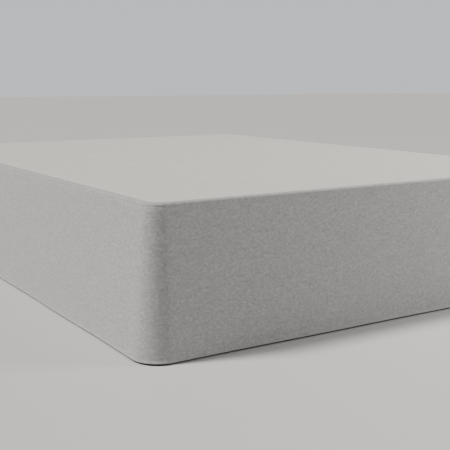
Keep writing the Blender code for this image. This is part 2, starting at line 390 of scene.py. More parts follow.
def bump_node(tree, height, distance, strength, under=None):
    """The normal of a Bump node on a height."""
    node = add_node(tree, "ShaderNodeBump", {
        "Height": height, "Distance": distance, "Strength": strength})
    if under is not None:
        feed(tree, node.inputs["Normal"], under)
    return node.outputs["Normal"]


def new_shader(name, **values):
    """A material with one Principled shader; returns material, tree and shader."""
    material = bpy.data.materials.new(name)
    material.use_nodes = True
    shader = material.node_tree.nodes["Principled BSDF"]
    for socket, value in values.items():
        shader.inputs[socket.replace("_", " ")].default_value = value
    return material, material.node_tree, shader


def paint_shader(tree, shader, shade, tone):
    """Give a shader a colour that a tone makes lighter and darker."""
    tinted = add_node(tree, "ShaderNodeVectorMath", {0: shade, "Scale": tone}, operation="SCALE")
    feed(tree, shader.inputs["Base Color"], tinted.outputs["Vector"])


# ------------------------------------------------------------- materials
def woven_cloth(name, shade, pitch, heather, mottle, slub, relief):
    """A plain weave of heathered threads, on the piece's own UV map in metres.

    heather is the threads' difference in tone, mottle the soft patches between
    groups of threads, slub the thick light stretches of single threads.
    """
    material, tree, shader = new_shader(name, Roughness=0.92, Sheen_Weight=0.22,
                                        Sheen_Roughness=0.45, Specular_IOR_Level=0.25)
    place = add_node(tree, "ShaderNodeUVMap", uv_map="cloth").outputs["UV"]
    split = add_node(tree, "ShaderNodeSeparateXYZ", {0: place})
    along, across = split.outputs["X"], split.outputs["Y"]
    warp, weft = (reckon(tree, "DIVIDE", way, pitch) for way in (along, across))
    warp_index, weft_index = (reckon(tree, "FLOOR", thread) for thread in (warp, weft))

    # which thread lies on top, and how round it stands above its flanks
    flanks = 0.35
    order = reckon(tree, "PINGPONG", reckon(tree, "ADD", warp_index, weft_index), 1.0)
    warp_round, weft_round = (
        reckon(tree, "ABSOLUTE", reckon(tree, "SINE", times(tree, thread, math.pi)))
        for thread in (warp, weft))
    swell = reckon(tree, "MULTIPLY_ADD", warp_round, weft_round, flanks)

    # each thread's own tone, by noise steps from thread to thread and per metre along it
    step, run, weft_start = 5.37, 135.0, 31.0
    warp_place = combine(tree, times(tree, warp_index, step), times(tree, across, run))
    weft_place = combine(tree, times(tree, along, run), times(tree, weft_index, step), weft_start)
    shown = add_node(tree, "ShaderNodeMix", {
        "Factor": order, 2: noise_node(tree, warp_place, 1.0, 1.0),
        3: noise_node(tree, weft_place, 1.0, 1.0)})

    # soft patches
    patch_place = combine(tree, times(tree, along, PATCH_STRETCH), across)
    patches = 0.0
    for scale, weight in CLOTH_PATCHES:
        patches = varied(tree, patches, noise_node(tree, patch_place, scale, 1.0),
                         mottle * weight)

    # slubs, where the noise along a thread is at its highest
    step, run, slub_start, least, gain = 2.9, 34.0, 77.0, 0.66, 4.0
    slub_place = combine(tree, times(tree, along, run), times(tree, weft_index, step), slub_start)
    slubs = times(tree, reckon(tree, "SUBTRACT", noise_node(tree, slub_place, 1.0, 0.0),
                               least, clamp=True), slub * gain)

    # the tone, with painted shade in the hollows between threads and painted light on their crowns
    thread_gain, hollow_shade, crown = 2.6, 0.88, 0.16
    tone = varied(tree, 1.0, shown.outputs[0], heather * thread_gain)
    for part in (patches, slubs):
        tone = reckon(tree, "ADD", tone, part)
    painted_weave_shade = reckon(tree, "MULTIPLY_ADD", swell, crown, hollow_shade)
    paint_shader(tree, shader, shade, times(tree, tone, painted_weave_shade))

    # relief of the threads, of the fuzz on them and of the patches
    fuzz_depth, patch_depth = relief * 1.4, relief * 6.0
    fuzz = noise_node(tree, place, scale=420.0, detail=3.0, roughness=0.6)
    normal = bump_node(tree, reckon(tree, "ADD", swell, slubs), relief, 0.55)
    normal = bump_node(tree, fuzz, fuzz_depth, 0.35, under=normal)
    normal = bump_node(tree, patches, patch_depth, 0.5, under=normal)
    feed(tree, shader.inputs["Normal"], normal)
    return material


def grained(name, shade, textures, rough, relief=None, tone=1.0, scuffed=False, **values):
    """A finish whose grain is noise on the object's own coordinates.

    Each texture is (scale, detail, roughness, its part in the tone, its part in
    the shader's roughness). relief is the first one's depth and strength as bump.
    """
    material, tree, shader = new_shader(name, **values)
    place = add_node(tree, "ShaderNodeTexCoord").outputs["Object"]
    for number, (scale, detail, roughness, in_tone, in_rough) in enumerate(textures):
        texture = noise_node(tree, place, scale, detail, roughness)
        if in_tone:
            tone = varied(tree, tone, texture, in_tone)
        if in_rough:
            rough = varied(tree, rough, texture, in_rough)
        if relief and number == 0:
            feed(tree, shader.inputs["Normal"], bump_node(tree, texture, *relief))
    if scuffed:
        # light scratches that run along y, where the noise is at its highest
        least, lighter, rougher = 0.68, 3.5, 1.2
        drawn_out = add_node(tree, "ShaderNodeMapping",
                             {"Vector": place, "Scale": (900.0, 14.0, 420.0)})
        scuffs = reckon(tree, "SUBTRACT", noise_node(tree, drawn_out.outputs["Vector"], 1.0),
                        least, clamp=True)
        tone = reckon(tree, "MULTIPLY_ADD", scuffs, lighter, tone)
        rough = reckon(tree, "MULTIPLY_ADD", scuffs, rougher, rough)
    paint_shader(tree, shader, shade, tone)
    feed(tree, shader.inputs["Roughness"], rough)
    return material


def thread_finish(name, shade):
    """Twisted sewing thread."""
    return grained(name, shade, ((2600.0, 1.0, 0.5, 0.5, 0.0),), rough=0.7,
                   relief=(0.00008, 0.5), tone=1.03, Sheen_Weight=0.15, Specular_IOR_Level=0.35)


def fibre_cloth(name, shade):
    """Pressed fibre cloth, as under a box spring."""
    return grained(name, shade, ((900.0, 3.0, 0.7, 0.7, 0.0), (60.0, 2.0, 0.5, 0.3, 0.0)),
                   rough=0.95, relief=(0.0002, 0.5), Specular_IOR_Level=0.2)


def painted_steel(name, shade):
    """Baked paint on rolled steel, a little uneven, with fine scuffs."""
    return grained(name, shade, ((420.0, 2.0, 0.5, 0.0, 0.0), (26.0, 3.0, 0.5, 0.35, 0.22)),
                   rough=0.42, relief=(0.0002, 0.35), scuffed=True, Metallic=0.0,
                   Specular_IOR_Level=0.5, Coat_Weight=0.12, Coat_Roughness=0.35)


def moulded_plastic(name, shade):
    """Fine-grained moulded plastic, rubbed lighter in places."""
    return grained(name, shade, ((1500.0, 2.0, 0.5, 0.3, 0.0), (70.0, 2.0, 0.5, 0.5, 0.25)),
                   rough=0.545, relief=(0.0001, 0.4), Specular_IOR_Level=0.45)


def floor_finish(name, shade):
    """A plain pale floor with a faint unevenness."""
    return grained(name, shade, ((160.0, 2.0, 0.5, 0.04, 0.1), (1.7, 4.0, 0.5, 0.05, 0.0)),
                   rough=0.60, Specular_IOR_Level=0.3)


# -------------------------------------------------------------- mesh helpers
def smooth_step(value, low, high):
    """Ease from 0 at low to 1 at high."""
    share = min(1.0, max(0.0, (value - low) / (high - low)))
    return share * share * (3 - 2 * share)


def bell(offset, half_width):
    """A soft hump of height 1 that ends at half_width."""
    if abs(offset) >= half_width:
        return 0.0
    return 0.5 * (1 + math.cos(math.pi * offset / half_width))


def crest(offset, half_width):
    """A ridge of height 1 with a narrow crest, ending softly at half_width."""
    return max(0.0, 1 - abs(offset) / half_width) ** 2


def waves(x, y, layers):
    """Soft noise about 0, the sum of layers (width, height, start of the noise, weight)."""
    return sum(weight * noise.noise(Vector((x / width, y / height, start)))
               for width, height, start, weight in layers)


def walked(points):
    """The distance walked along a line, at each of its points."""
    distances = [0.0]
    for before, after in zip(points, points[1:]):
        distances.append(distances[-1] + math.dist(before, after))
    return distances


def add_object(name, data):
    """A new object in the scene."""
    item = bpy.data.objects.new(name, data)
    bpy.context.scene.collection.objects.link(item)
    return item


def add_piece(name, mesh):
    """A smooth piece that rides on the bed."""
    mesh.shade_smooth()
    piece = add_object(name, mesh)
    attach(piece, BODY)
    return piece


def new_piece(name, points, faces, face_uvs, materials, face_materials=None):
    """A piece made of faces, with its UV map in metres."""
    mesh = bpy.data.meshes.new(name)
    mesh.from_pydata(points, [], faces)
    layer = mesh.uv_layers.new(name="cloth")
    layer.data.foreach_set("uv", [value for corners in face_uvs for uv in corners for value in uv])
    for material in materials:
        mesh.materials.append(material)
    if face_materials:
        mesh.polygons.foreach_set("material_index", face_materials)
    mesh.validate()
    return add_piece(name, mesh)


def grid_cells(rows, columns, closed=False):
    """The faces of a grid of points, each as four corners (row, column).

    In a closed grid, the column after the last one stands for the first.
    """
    for row in range(rows - 1):
        for column in range(columns if closed else columns - 1):
            yield (row, column), (row, column + 1), (row + 1, column + 1), (row + 1, column)


def grid_face(cell, columns):
    """The points of one face of a grid."""
    return tuple(row * columns + column % columns for row, column in cell)


def flat_uvs(points, face):
    """The UV corners of a face that lies flat."""
    return [(points[index][0] + UV_START[0], points[index][1] + UV_START[1]) for index in face]


def plan_counts(corner, ends, sides):
    """Counts of spans for plan_path: in a corner, along head and foot, and along a side."""
    return {"corner": corner, "head": ends, "foot": ends, "left": sides, "right": sides}


def plan_path(half_width, half_length, radius, counts, head_return=None):
    """Walk round a bed's plan, anticlockwise seen from above.

    Yields (place, way out, face, place along that face), the same number of points
    for the same counts. Without a head return the walk is closed; with one it
    starts and ends that far past the two head corners.
    """
    in_x, in_y = half_width - radius, half_length - radius
    centres = ((in_x, in_y), (-in_x, in_y), (-in_x, -in_y), (in_x, -in_y))

    def straight(start, end, face, out):
        for step in range(counts[face]):
            x, y = (here + (there - here) * (step / counts[face])
                    for here, there in zip(start, end))
            yield (x, y), out, face, x if face in ("foot", "head") else y

    if head_return:
        yield from straight((head_return - in_x, half_length), (-in_x, half_length), *FACES[0])
    for number in (1, 2, 3, 0) if head_return else (0, 1, 2, 3):
        centre = centres[number]
        for step in range(counts["corner"]):
            turned = math.pi / 2 * (number + step / counts["corner"])
            out = (math.cos(turned), math.sin(turned))
            yield (centre[0] + radius * out[0], centre[1] + radius * out[1]), out, "corner", 0.0
        face, out = FACES[number]
        start, end = ((x + radius * out[0], y + radius * out[1])
                      for x, y in (centre, centres[(number + 1) % 4]))
        if head_return and face == "head":
            end = (in_x - head_return, half_length)
        yield from straight(start, end, face, out)
    if head_return:
        yield end, out, face, end[0]


# ------------------------------------------------------------------ the drop
class Station:
    """One upright line of the drop, between its places at the top and at the hem."""

    def __init__(self, top, hem, out, face, along, before):
        self.top, self.hem, self.out = top, hem, out
        self.face, self.along = face, along
        self.top_walk = before.top_walk + math.dist(before.top, top) if before else 0.0
        self.hem_walk = before.hem_walk + math.dist(before.hem, hem) if before else 0.0

    def place(self, share, inward, height, relief):
        """A point of the cloth, from its share of the drop, inward offset and height."""
        x, y = (top + (hem - top) * share - out * (inward - relief)
                for top, hem, out in zip(self.top, self.hem, self.out))
        return (x, y, height)

    def walk(self, share):
        """Distance walked round the bed, at a share of the drop."""
        return self.top_walk + (self.hem_walk - self.top_walk) * share


def roll_bottom(sizes):
    """The height where the cloth leaves its roll over the edge and hangs."""
    return DROP_HIGH.z - sizes.roll


def fall(sizes):
    """The height of the cloth that hangs."""
    return roll_bottom(sizes) - DROP_LOW.z


def share_at(height, sizes):
    """The share of the drop at a height, from 0 at the roll to 1 at the hem."""
    return max(0.0, (roll_bottom(sizes) - height) / fall(sizes))


def drop_stations(sizes):
    """The drop's upright lines, from one head return to the other."""
    half_width, half_length = DROP_HIGH.x, DROP_HIGH.y
    top_width = half_width - sizes.side_lean
    top_length = half_length - sizes.foot_lean
    counts = plan_counts(corner=16,
                         ends=round(2 * (top_width - sizes.top_radius) / sizes.spacing),
                         sides=round(2 * (top_length - sizes.top_radius) / sizes.spacing))
    counts["head"] = max(2, round(sizes.head_return / sizes.spacing))
    top = plan_path(top_width, top_length, sizes.top_radius, counts, sizes.head_return)
    hem = plan_path(half_width, half_length, sizes.hem_radius, counts, sizes.head_return)
    stations = []
    for (top_place, *_), (hem_place, *lie) in zip(top, hem):
        before = stations[-1] if stations else None
        stations.append(Station(top_place, hem_place, *lie, before))
    return stations


def drop_relief(station, share, sizes):
    """How far the cloth stands out from its flat lie, at a share of the drop."""
    depth = 0.0
    for face, middle, half_width, deepest in HEM_DIPS:
        if face == station.face:
            depth += deepest * share * bell(station.along - middle, half_width)
    for face, place, lean, half_width, deepest, first, last in DROP_CREASES:
        if face == station.face:
            begun = smooth_step(share, first, first + CREASE_FADE)
            ended = smooth_step(share, last, last + CREASE_FADE)
            depth += (deepest * begun * (1 - ended)
                      * bell(station.along - (place + lean * share), half_width))
    loose = smooth_step(share, *RIPPLES_BEGIN)
    return loose * sizes.ripple * waves(station.walk(share), share, DROP_RIPPLES) - depth


def drop_ring(sizes):
    """The drop's closed cross-section, as points (share of the drop, inward offset, height).

    Returns the outside from the turn-in's edge down to the hem, the fold at the
    hem, the inside from the top down, and the turn-in's cut edge.
    """
    top, bottom, low = DROP_HIGH.z, roll_bottom(sizes), DROP_LOW.z
    cloth, roll, hem_cloth = sizes.cloth, sizes.roll, sizes.hem_cloth
    outer, inner = [], []

    def level(height, outside, inside):
        """Add the two points at one height of the hanging cloth."""
        share = share_at(height, sizes)
        outer.append((share, outside, height))
        inner.append((share, inside, height))

    for inward in (sizes.turn_in - cloth / 2, (sizes.turn_in + roll) / 2):
        outer.append((0.0, inward, top))
        inner.append((0.0, inward, top - cloth))
    roll_steps = 7
    for step in range(roll_steps + 1):
        angle = math.pi / 2 * (1 - step / roll_steps)
        for side, radius in ((outer, roll), (inner, roll - cloth)):
            side.append((0.0, roll - radius * math.cos(angle), bottom + radius * math.sin(angle)))
    for place, depth in SEAM_GROOVE:
        level(bottom - sizes.seam_width * place, sizes.seam_depth * depth, cloth)
    first, hem_top = bottom - sizes.seam_width, low + sizes.hem_height
    count = round((first - hem_top) / sizes.spacing)
    for step in range(1, count + 1):
        level(first + (hem_top - first) * step / count, 0.0, cloth)
    lip = (hem_cloth - cloth) / 2
    level(hem_top - lip, 0.0, cloth + lip)
    level(hem_top - 2 * lip, 0.0, hem_cloth)
    for halves, rolled in HEM_ROLL:
        level(low + halves * hem_cloth / 2, -sizes.hem_roll * rolled, hem_cloth)

    round_steps = 5
    angles = [math.pi * step / round_steps for step in range(1, round_steps)]
    share, outside, height = outer[-1]
    middle = (outside + hem_cloth) / 2
    fold = [(share, middle - (middle - outside) * math.cos(angle),
             height - hem_cloth / 2 * math.sin(angle)) for angle in angles]
    share, inward, height = outer[0]
    edge = [(share, inward + cloth / 2 * math.sin(angle),
             height - cloth / 2 * (1 + math.cos(angle))) for angle in angles]
    return outer, fold, inner, edge


def build_drop(sizes, material):
    """Loft the cross-section along the stations and close both cut ends."""
    outer, fold, inner, edge = drop_ring(sizes)
    ring = outer + fold + inner[::-1] + edge
    size, count = len(ring), len(outer)
    down = walked([place for _, *place in ring + ring[:1]])
    shares = {share for share, _, _ in ring}
    stations = drop_stations(sizes)
    points = []
    for station in stations:
        relief = {share: drop_relief(station, share, sizes) for share in shares}
        points += [station.place(share, inward, height, relief[share])
                   for share, inward, height in ring]
    faces, uvs = [], []
    for cell in grid_cells(len(stations), size, closed=True):
        faces.append(grid_face(cell, size))
        uvs.append([(stations[index].walk(ring[row % size][0]), down[row])
                    for index, row in cell])

    # across each cut end: the cloth's two sides, the fold at the hem, the turn-in's edge
    opposite = 2 * count + len(fold) - 1
    caps = [(row, row + 1, opposite - row - 1, opposite - row) for row in range(count - 1)]
    caps.append(tuple(range(count - 1, count + len(fold) + 1)))
    caps.append((*range(size - len(edge) - 1, size), 0))
    for start, way in ((0, -1), ((len(stations) - 1) * size, 1)):
        for cap in caps:
            faces.append(tuple(start + row for row in cap[::way]))
            uvs.append([(down[row], 0.0) for row in cap[::way]])
    return new_piece("drop_cloth", points, faces, uvs, [material])


# ------------------------------------------------------------------ the deck
def grid_places(half, corner, spacing, folds):
    """Grid lines from -half to half, closer together at the folds and the rounded corners."""
    flat = half - corner
    count = round(2 * flat / spacing)
    places = [-flat + 2 * flat * step / count for step in range(count + 1)]
    for place, half_width in folds:
        for share in (-0.5, -0.2, 0.0, 0.2, 0.5):
            line = place + half_width * share
            places = [value for value in places if abs(value - line) > spacing / 6]
            places.append(line)
    turn_steps = 6
    for step in range(1, turn_steps + 1):
        reach = flat + corner * step / turn_steps
        places += [-reach, reach]
    return sorted(places)


def deck_relief(x, y, sizes):
    """Height of the deck's folds and wrinkles above its flat lie."""
    height = 0.0
    usual, wander, run, start = 0.75, 0.6, 2.1, 9  # how a fold's height varies along it
    for axis, place, width, highest in DECK_FOLDS:
        offset = (x if axis == "x" else y) - place
        share = usual + wander * noise.noise(Vector((x * run, y * run, place * start)))
        height += highest * share * crest(offset, width)
    sway, bends = 0.012, 7  # how far a crease bends to a side, and bends in a metre
    for middle_x, middle_y, direction, span, width, highest in DECK_CREASES:
        way = math.radians(direction)
        along = (x - middle_x) * math.cos(way) + (y - middle_y) * math.sin(way)
        beside = (y - middle_y) * math.cos(way) - (x - middle_x) * math.sin(way)
        bend = sway * noise.noise(Vector((along * bends, middle_x, middle_y)))
        height += highest * bell(along, span / 2) * bell(beside - bend, width)
    height += sizes.wrinkle * (0.5 + waves(x, y, DECK_WRINKLES))
    from_side, from_end = DECK_HIGH.x - abs(x), DECK_HIGH.y - abs(y)
    margin = sizes.edge_margin
    pull, reach = 0.024, 0.3  # size of a pull along the seam and across it
    beside = waves(y, x, ((pull, reach, 2.2, 1.0),)) * bell(from_side - margin, margin)
    beyond = waves(x, y, ((pull, reach, 8.4, 1.0),)) * bell(from_end - margin, margin)
    height = max(0.0, height + sizes.pucker * (beside + beyond))
    seam = 0.002  # width that the seam holds down
    return (height / (1 + height / DECK_RISE)
            * smooth_step(min(from_side, from_end), seam, margin))


def rounded(x, y, in_x, in_y, radius):
    """Move a point in a square corner to the same place in a rounded one."""
    if abs(x) <= in_x or abs(y) <= in_y:
        return x, y
    dx, dy = (abs(x) - in_x) / radius, (abs(y) - in_y) / radius
    stretch = max(dx, dy) / math.hypot(dx, dy)
    return (math.copysign(in_x + radius * dx * stretch, x),
            math.copysign(in_y + radius * dy * stretch, y))


def build_deck(sizes, material):
    """A grid sheet with rounded corners, folds and soft wrinkles."""
    half_width, half_length = DECK_HIGH.x, DECK_HIGH.y
    radius, cloth = sizes.corner, sizes.cloth
    folds = {axis: [fold[1:3] for fold in DECK_FOLDS if fold[0] == axis] for axis in "xy"}
    hem_line = half_length - sizes.head_hem
    folds["y"].append((hem_line, 2 * cloth))
    xs = grid_places(half_width, radius, sizes.spacing, folds["x"])
    ys = grid_places(half_length, radius, sizes.spacing, folds["y"])
    points = []
    for layers in (1, 0):
        for y in ys:
            doubled = 1 + smooth_step(y, hem_line - cloth, hem_line + cloth)
            for x in xs:
                height = DECK_LOW.z + deck_relief(x, y, sizes) + cloth * doubled * layers
                points.append((*rounded(x, y, half_width - radius, half_length - radius, radius),
                               height))
    across, layer = len(xs), len(xs) * len(ys)
    faces = []
    for cell in grid_cells(len(ys), across):
        over = grid_face(cell, across)
        faces += [over, tuple(layer + index for index in over[::-1])]

    # a rounded edge, with its middle half the cloth's thickness further out
    rim = list(range(across)) + [row * across + across - 1 for row in range(1, len(ys))]
    rim += [layer - 1 - column for column in range(1, across)]
    rim += [row * across for row in range(len(ys) - 2, 0, -1)]
    thin_edge = cloth / 2
    bulge = len(points)
    for index in rim:
        x, y, z = points[index]
        points.append((x * (1 + thin_edge / half_width), y * (1 + thin_edge / half_length),
                       (z + points[layer + index][2]) / 2))
    for step, index in enumerate(rim):
        after = (step + 1) % len(rim)
        faces.append((index, bulge + step, bulge + after, rim[after]))
        faces.append((bulge + step, layer + index, layer + rim[after], bulge + after))
    uvs = [flat_uvs(points, face) for face in faces]
    shrink = 1 - thin_edge / half_width
    points = [(x * shrink, y * shrink, z) for x, y, z in points]
    return new_piece("deck_cloth", points, faces, uvs, [material])


# ------------------------------------------------------------- box spring
def base_section(sizes):
    """The cover's profile as (inward offset, height), from underneath to the top."""
    low, high, edge = BASE_LOW.z, BASE_HIGH.z, sizes.edge
    side, step_in = 0.0006, 0.002  # the side's upper and lower rim, the step underneath
    flat, dent = edge * 1.6, edge * 0.55
    # the rounded edge as (inward offset, distance from the flat face)
    rounding = [(flat, 0.0), (edge, 0.0002), (dent, dent * 0.75), (side, edge)]
    rows = [(sizes.margin + step_in, low + sizes.recess), (sizes.margin, low)]
    rows += [(inward, low + rise) for inward, rise in rounding]
    side_rows, crowned = 9, sizes.crown * 0.6
    for step in range(side_rows + 1):
        share = step / side_rows
        swell = crowned * (1 - (2 * share - 1) ** 4)
        rows.append((side - swell, low + flat + (high - low - 2 * flat) * share))
    return rows + [(inward, high - rise) for inward, rise in rounding[::-1]]


def base_outline(inward, radius, counts):
    """The closed plan of the box spring, drawn in by a distance."""
    path = plan_path(BASE_HIGH.x - inward, BASE_HIGH.y - inward, radius, counts)
    return [place for place, *_ in path]


def build_base(sizes, ticking, under_cloth):
    """The box spring's cover, with a cloth panel underneath."""
    counts = plan_counts(corner=10, ends=50, sides=66)
    rows = base_section(sizes)
    least_radius = 0.004
    # ripples of the ticking, with their number in a metre around and upward
    ripple_height, around, upward = 0.00025, 9, 14
    points = []
    for inward, height in rows:
        for x, y in base_outline(inward, max(least_radius, sizes.corner - inward), counts):
            ripple = ripple_height * noise.noise(Vector((x * around, y * around,
                                                         height * upward)))
            points.append((x + ripple, y + ripple, height))
    outline = base_outline(0.0, sizes.corner, counts)
    count = len(outline)
    along, climbed = walked(outline + outline[:1]), walked(rows)
    faces, uvs, kinds = [], [], []
    for cell in grid_cells(len(rows), count, closed=True):
        faces.append(grid_face(cell, count))
        uvs.append([(along[column], climbed[row]) for row, column in cell])
        kinds.append(1 if cell[0][0] == 0 else 0)
    for cap, kind in ((range(count - 1, -1, -1), 1),
                      (range(len(points) - count, len(points)), 0)):
        faces.append(tuple(cap))
        uvs.append(flat_uvs(points, cap))
        kinds.append(kind)
    return new_piece("base_cover", points, faces, uvs, [ticking, under_cloth], kinds)


# ------------------------------------------------------------ geometry nodes
def new_group(name, values):
    """A geometry node group with an input for each value; returns it and those inputs."""
    kinds = {float: "NodeSocketFloat", int: "NodeSocketInt",
             bpy.types.Material: "NodeSocketMaterial"}
    group = bpy.data.node_groups.new(name, "GeometryNodeTree")
    group.interface.new_socket("Geometry", in_out="INPUT", socket_type="NodeSocketGeometry")
    for label, value in values.items():
        socket = group.interface.new_socket(label, in_out="INPUT", socket_type=kinds[type(value)])
        socket.default_value = value
    group.interface.new_socket("Geometry", in_out="OUTPUT", socket_type="NodeSocketGeometry")
    return group, add_node(group, "NodeGroupInput").outputs


def finish_group(group, geometry, material):
    """End the tree in Realize Instances and Set Material."""
    real = add_node(group, "GeometryNodeRealizeInstances", {"Geometry": geometry})
    painted = add_node(group, "GeometryNodeSetMaterial",
                       {"Geometry": real.outputs["Geometry"], "Material": material})
    add_node(group, "NodeGroupOutput", {"Geometry": painted.outputs["Geometry"]})
    return group


def set_beads(group, given, points, turned, size, segments, rings):
    """Set a round bead, stretched to a size, on every point, and end the tree."""
    bead = add_node(group, "GeometryNodeMeshUVSphere",
                    {"Segments": segments, "Rings": rings, "Radius": 1.0})
    placed = add_node(group, "GeometryNodeInstanceOnPoints", {
        "Points": points, "Instance": bead.outputs["Mesh"], "Rotation": turned,
        "Scale": combine(group, *size)})
    return finish_group(group, placed.outputs["Instances"], given["Material"])


def stitch_group(values):
    """Stitches set end to end along lines."""
    group, given = new_group("stitch_line", values)
    curve = add_node(group, "GeometryNodeMeshToCurve", {"Mesh": given["Geometry"]})
    spread = add_node(group, "GeometryNodeCurveToPoints", {
        "Curve": curve.outputs["Curve"],
        "Length": reckon(group, "ADD", given["Stitch"], given["Gap"])}, mode="LENGTH")
    size = (given["Thread"], given["Thread"], times(group, given["Stitch"], 0.5))
    return set_beads(group, given, spread.outputs["Points"], spread.outputs["Rotation"], size,
                     segments=given["Sides"], rings=5)


def cord_group(values):
    """A round cord along lines."""
    group, given = new_group("welt_cord", values)
    curve = add_node(group, "GeometryNodeMeshToCurve", {"Mesh": given["Geometry"]})
    ring = add_node(group, "GeometryNodeCurvePrimitiveCircle",
                    {"Radius": given["Radius"], "Resolution": given["Sides"]})
    sweep = add_node(group, "GeometryNodeCurveToMesh", {
        "Curve": curve.outputs["Curve"], "Profile Curve": ring.outputs["Curve"]})
    return finish_group(group, sweep.outputs["Mesh"], given["Material"])


def rivet_group(values):
    """Domed heads on single points, turned along the points' own direction."""
    group, given = new_group("rivet_heads", values)
    facing = add_node(group, "GeometryNodeInputNamedAttribute", {"Name": "facing"},
                      data_type="FLOAT_VECTOR")
    turned = add_node(group, "FunctionNodeAlignRotationToVector",
                      {"Vector": facing.outputs["Attribute"]}, axis="Z")
    size = (given["Radius"], given["Radius"], given["Height"])
    return set_beads(group, given, given["Geometry"], turned.outputs["Rotation"], size,
                     segments=14, rings=8)


def grow(name, points, lines, group, values, facing=None):
    """Run a node group on lines or points and keep the result as a plain mesh."""
    seed = bpy.data.meshes.new(name + "_line")
    seed.from_pydata(points, lines, [])
    if facing:
        attribute = seed.attributes.new("facing", "FLOAT_VECTOR", "POINT")
        attribute.data.foreach_set("vector", [value for out in facing for value in out])
    carrier = add_object(name + "_line", seed)
    modifier = carrier.modifiers.new(name, "NODES")
    modifier.node_group = group
    for socket in group.interface.items_tree:
        if socket.name in values:
            modifier[socket.identifier] = values[socket.name]
    graph = bpy.context.evaluated_depsgraph_get()
    mesh = bpy.data.meshes.new_from_object(carrier.evaluated_get(graph), depsgraph=graph)
    bpy.data.objects.remove(carrier, do_unlink=True)
    if not mesh.polygons:
        raise RuntimeError(name + " came out empty")
    mesh.name = name
    return add_piece(name, mesh)


def chain(points, closed=False):
    """The edges that join points in order."""
    edges = [(index, index + 1) for index in range(len(points) - 1)]
    if closed:
        edges.append((len(points) - 1, 0))
    return edges


def shortened(points, distance):
    """A line whose two ends are drawn in by a distance."""
    ends = []
    for end, beside in ((points[0], points[1]), (points[-1], points[-2])):
        share = distance / math.dist(end, beside)
        ends.append(tuple(here + (there - here) * share for here, there in zip(end, beside)))
    return [ends[0], *points[1:-1], ends[1]]


# --------------------------------------------------------------- operators
class BEDSKIRT_OT_hang_drop(bpy.types.Operator):
    """Hang the strip of cloth round both sides and the foot"""

    bl_idname = "bed_skirt.hang_drop"
    bl_label = "Hang the drop"

    def execute(self, context):
        sizes = context.scene.bed_skirt_drop
        cloth = woven_cloth("drop_weave", sizes.shade, sizes.thread_pitch, sizes.heather,
                            mottle=0.17, slub=0.20, relief=0.00022)
        drop = build_drop(sizes, cloth)
        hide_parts("skirt_drop")
        return {"FINISHED"}


class BEDSKIRT_OT_lay_deck(bpy.types.Operator):
    """Lay the deck on the box spring, between the turned-in edges"""

    bl_idname = "bed_skirt.lay_deck"
    bl_label = "Lay the deck"

    def execute(self, context):
        sizes = context.scene.bed_skirt_deck
        cloth = woven_cloth("deck_weave", sizes.shade, sizes.thread_pitch, heather=0.08,
                            mottle=0.07, slub=0.15, relief=0.00014)
        deck = build_deck(sizes, cloth)
        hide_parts("skirt_deck")
        return {"FINISHED"}


class BEDSKIRT_OT_sew_seams(bpy.types.Operator):
    """Sew the top seam, the seam to the deck, the hem and the two end hems"""

    bl_idname = "bed_skirt.sew_seams"
    bl_label = "Sew the seams"

    def execute(self, context):
        cloth = context.scene.bed_skirt_drop
        deck_sizes = context.scene.bed_skirt_deck
        sewing = context.scene.bed_skirt_sewing
        stations = drop_stations(cloth)
        thread = thread_finish("sewing_thread", sewing.shade)
        values = {"Stitch": sewing.stitch, "Gap": sewing.gap, "Thread": sewing.thread,
                  "Sides": sewing.sides, "Material": thread}
        group = stitch_group(values)
        proud = self.proud(sewing)
        seams = (
            # piece, length of a stitch, height, inward offset
            ("top_seam_thread", sewing.stitch, roll_bottom(cloth) - cloth.seam_width / 2,
             cloth.seam_depth - proud),
            ("deck_seam_thread", sewing.stitch, DROP_HIGH.z + proud,
             cloth.turn_in - sewing.edge_line),
            ("hem_thread", sewing.hem_stitch, DROP_LOW.z + cloth.hem_height - sewing.hem_line,
             cloth.hem_cloth + proud),
        )
        for name, stitch, height, inward in seams:
            values["Stitch"] = stitch
            share = share_at(height, cloth)
            line = shortened([station.place(share, inward, height,
                                            drop_relief(station, share, cloth))
                              for station in stations], sewing.end_gap)
            grow(name, line, chain(line), group, values)
        self.end_hems(stations, cloth, sewing, group, values)
        deck_sewn = self.head_hem(deck_sizes, sewing, group, values)

        cut_length = stations[-1].walk(1.0) + 2 * cloth.side_hem
        return {"FINISHED"}

    def proud(self, sewing):
        """How far a stitch's middle stands out of the cloth."""
        return sewing.thread * 0.35

    def head_hem(self, sizes, sewing, group, values):
        """Stitches along the deck's doubled hem at the head end."""
        y = DECK_HIGH.y - sizes.head_hem + sewing.hem_line
        reach = DECK_HIGH.x - sizes.corner
        base = DECK_LOW.z + 2 * sizes.cloth + self.proud(sewing)
        columns = 130
        points = []
        for column in range(columns + 1):
            x = -reach + 2 * reach * column / columns
            points.append((x, y, base + deck_relief(x, y, sizes)))
        values["Material"] = thread_finish("deck_thread", sewing.deck_shade)
        return grow("deck_hem_thread", points, chain(points), group, values)

    def end_hems(self, stations, cloth, sewing, group, values):
        """Upright stitches beside both cut ends of the strip."""
        rows, first, span = 24, 0.01, 0.975  # shares of the drop
        inset = cloth.side_hem - sewing.end_line
        points, edges = [], []
        for end, beside in ((stations[0], stations[1]), (stations[-1], stations[-2])):
            toward = math.copysign(inset, beside.hem[0] - end.hem[0])
            edges += [(len(points) + row, len(points) + row + 1) for row in range(rows)]
            for row in range(rows + 1):
                share = first + span * row / rows
                x, y, z = end.place(share, -self.proud(sewing),
                                    roll_bottom(cloth) - fall(cloth) * share,
                                    drop_relief(end, share, cloth))
                points.append((x + toward, y, z))
        return grow("end_hem_thread", points, edges, group, values)


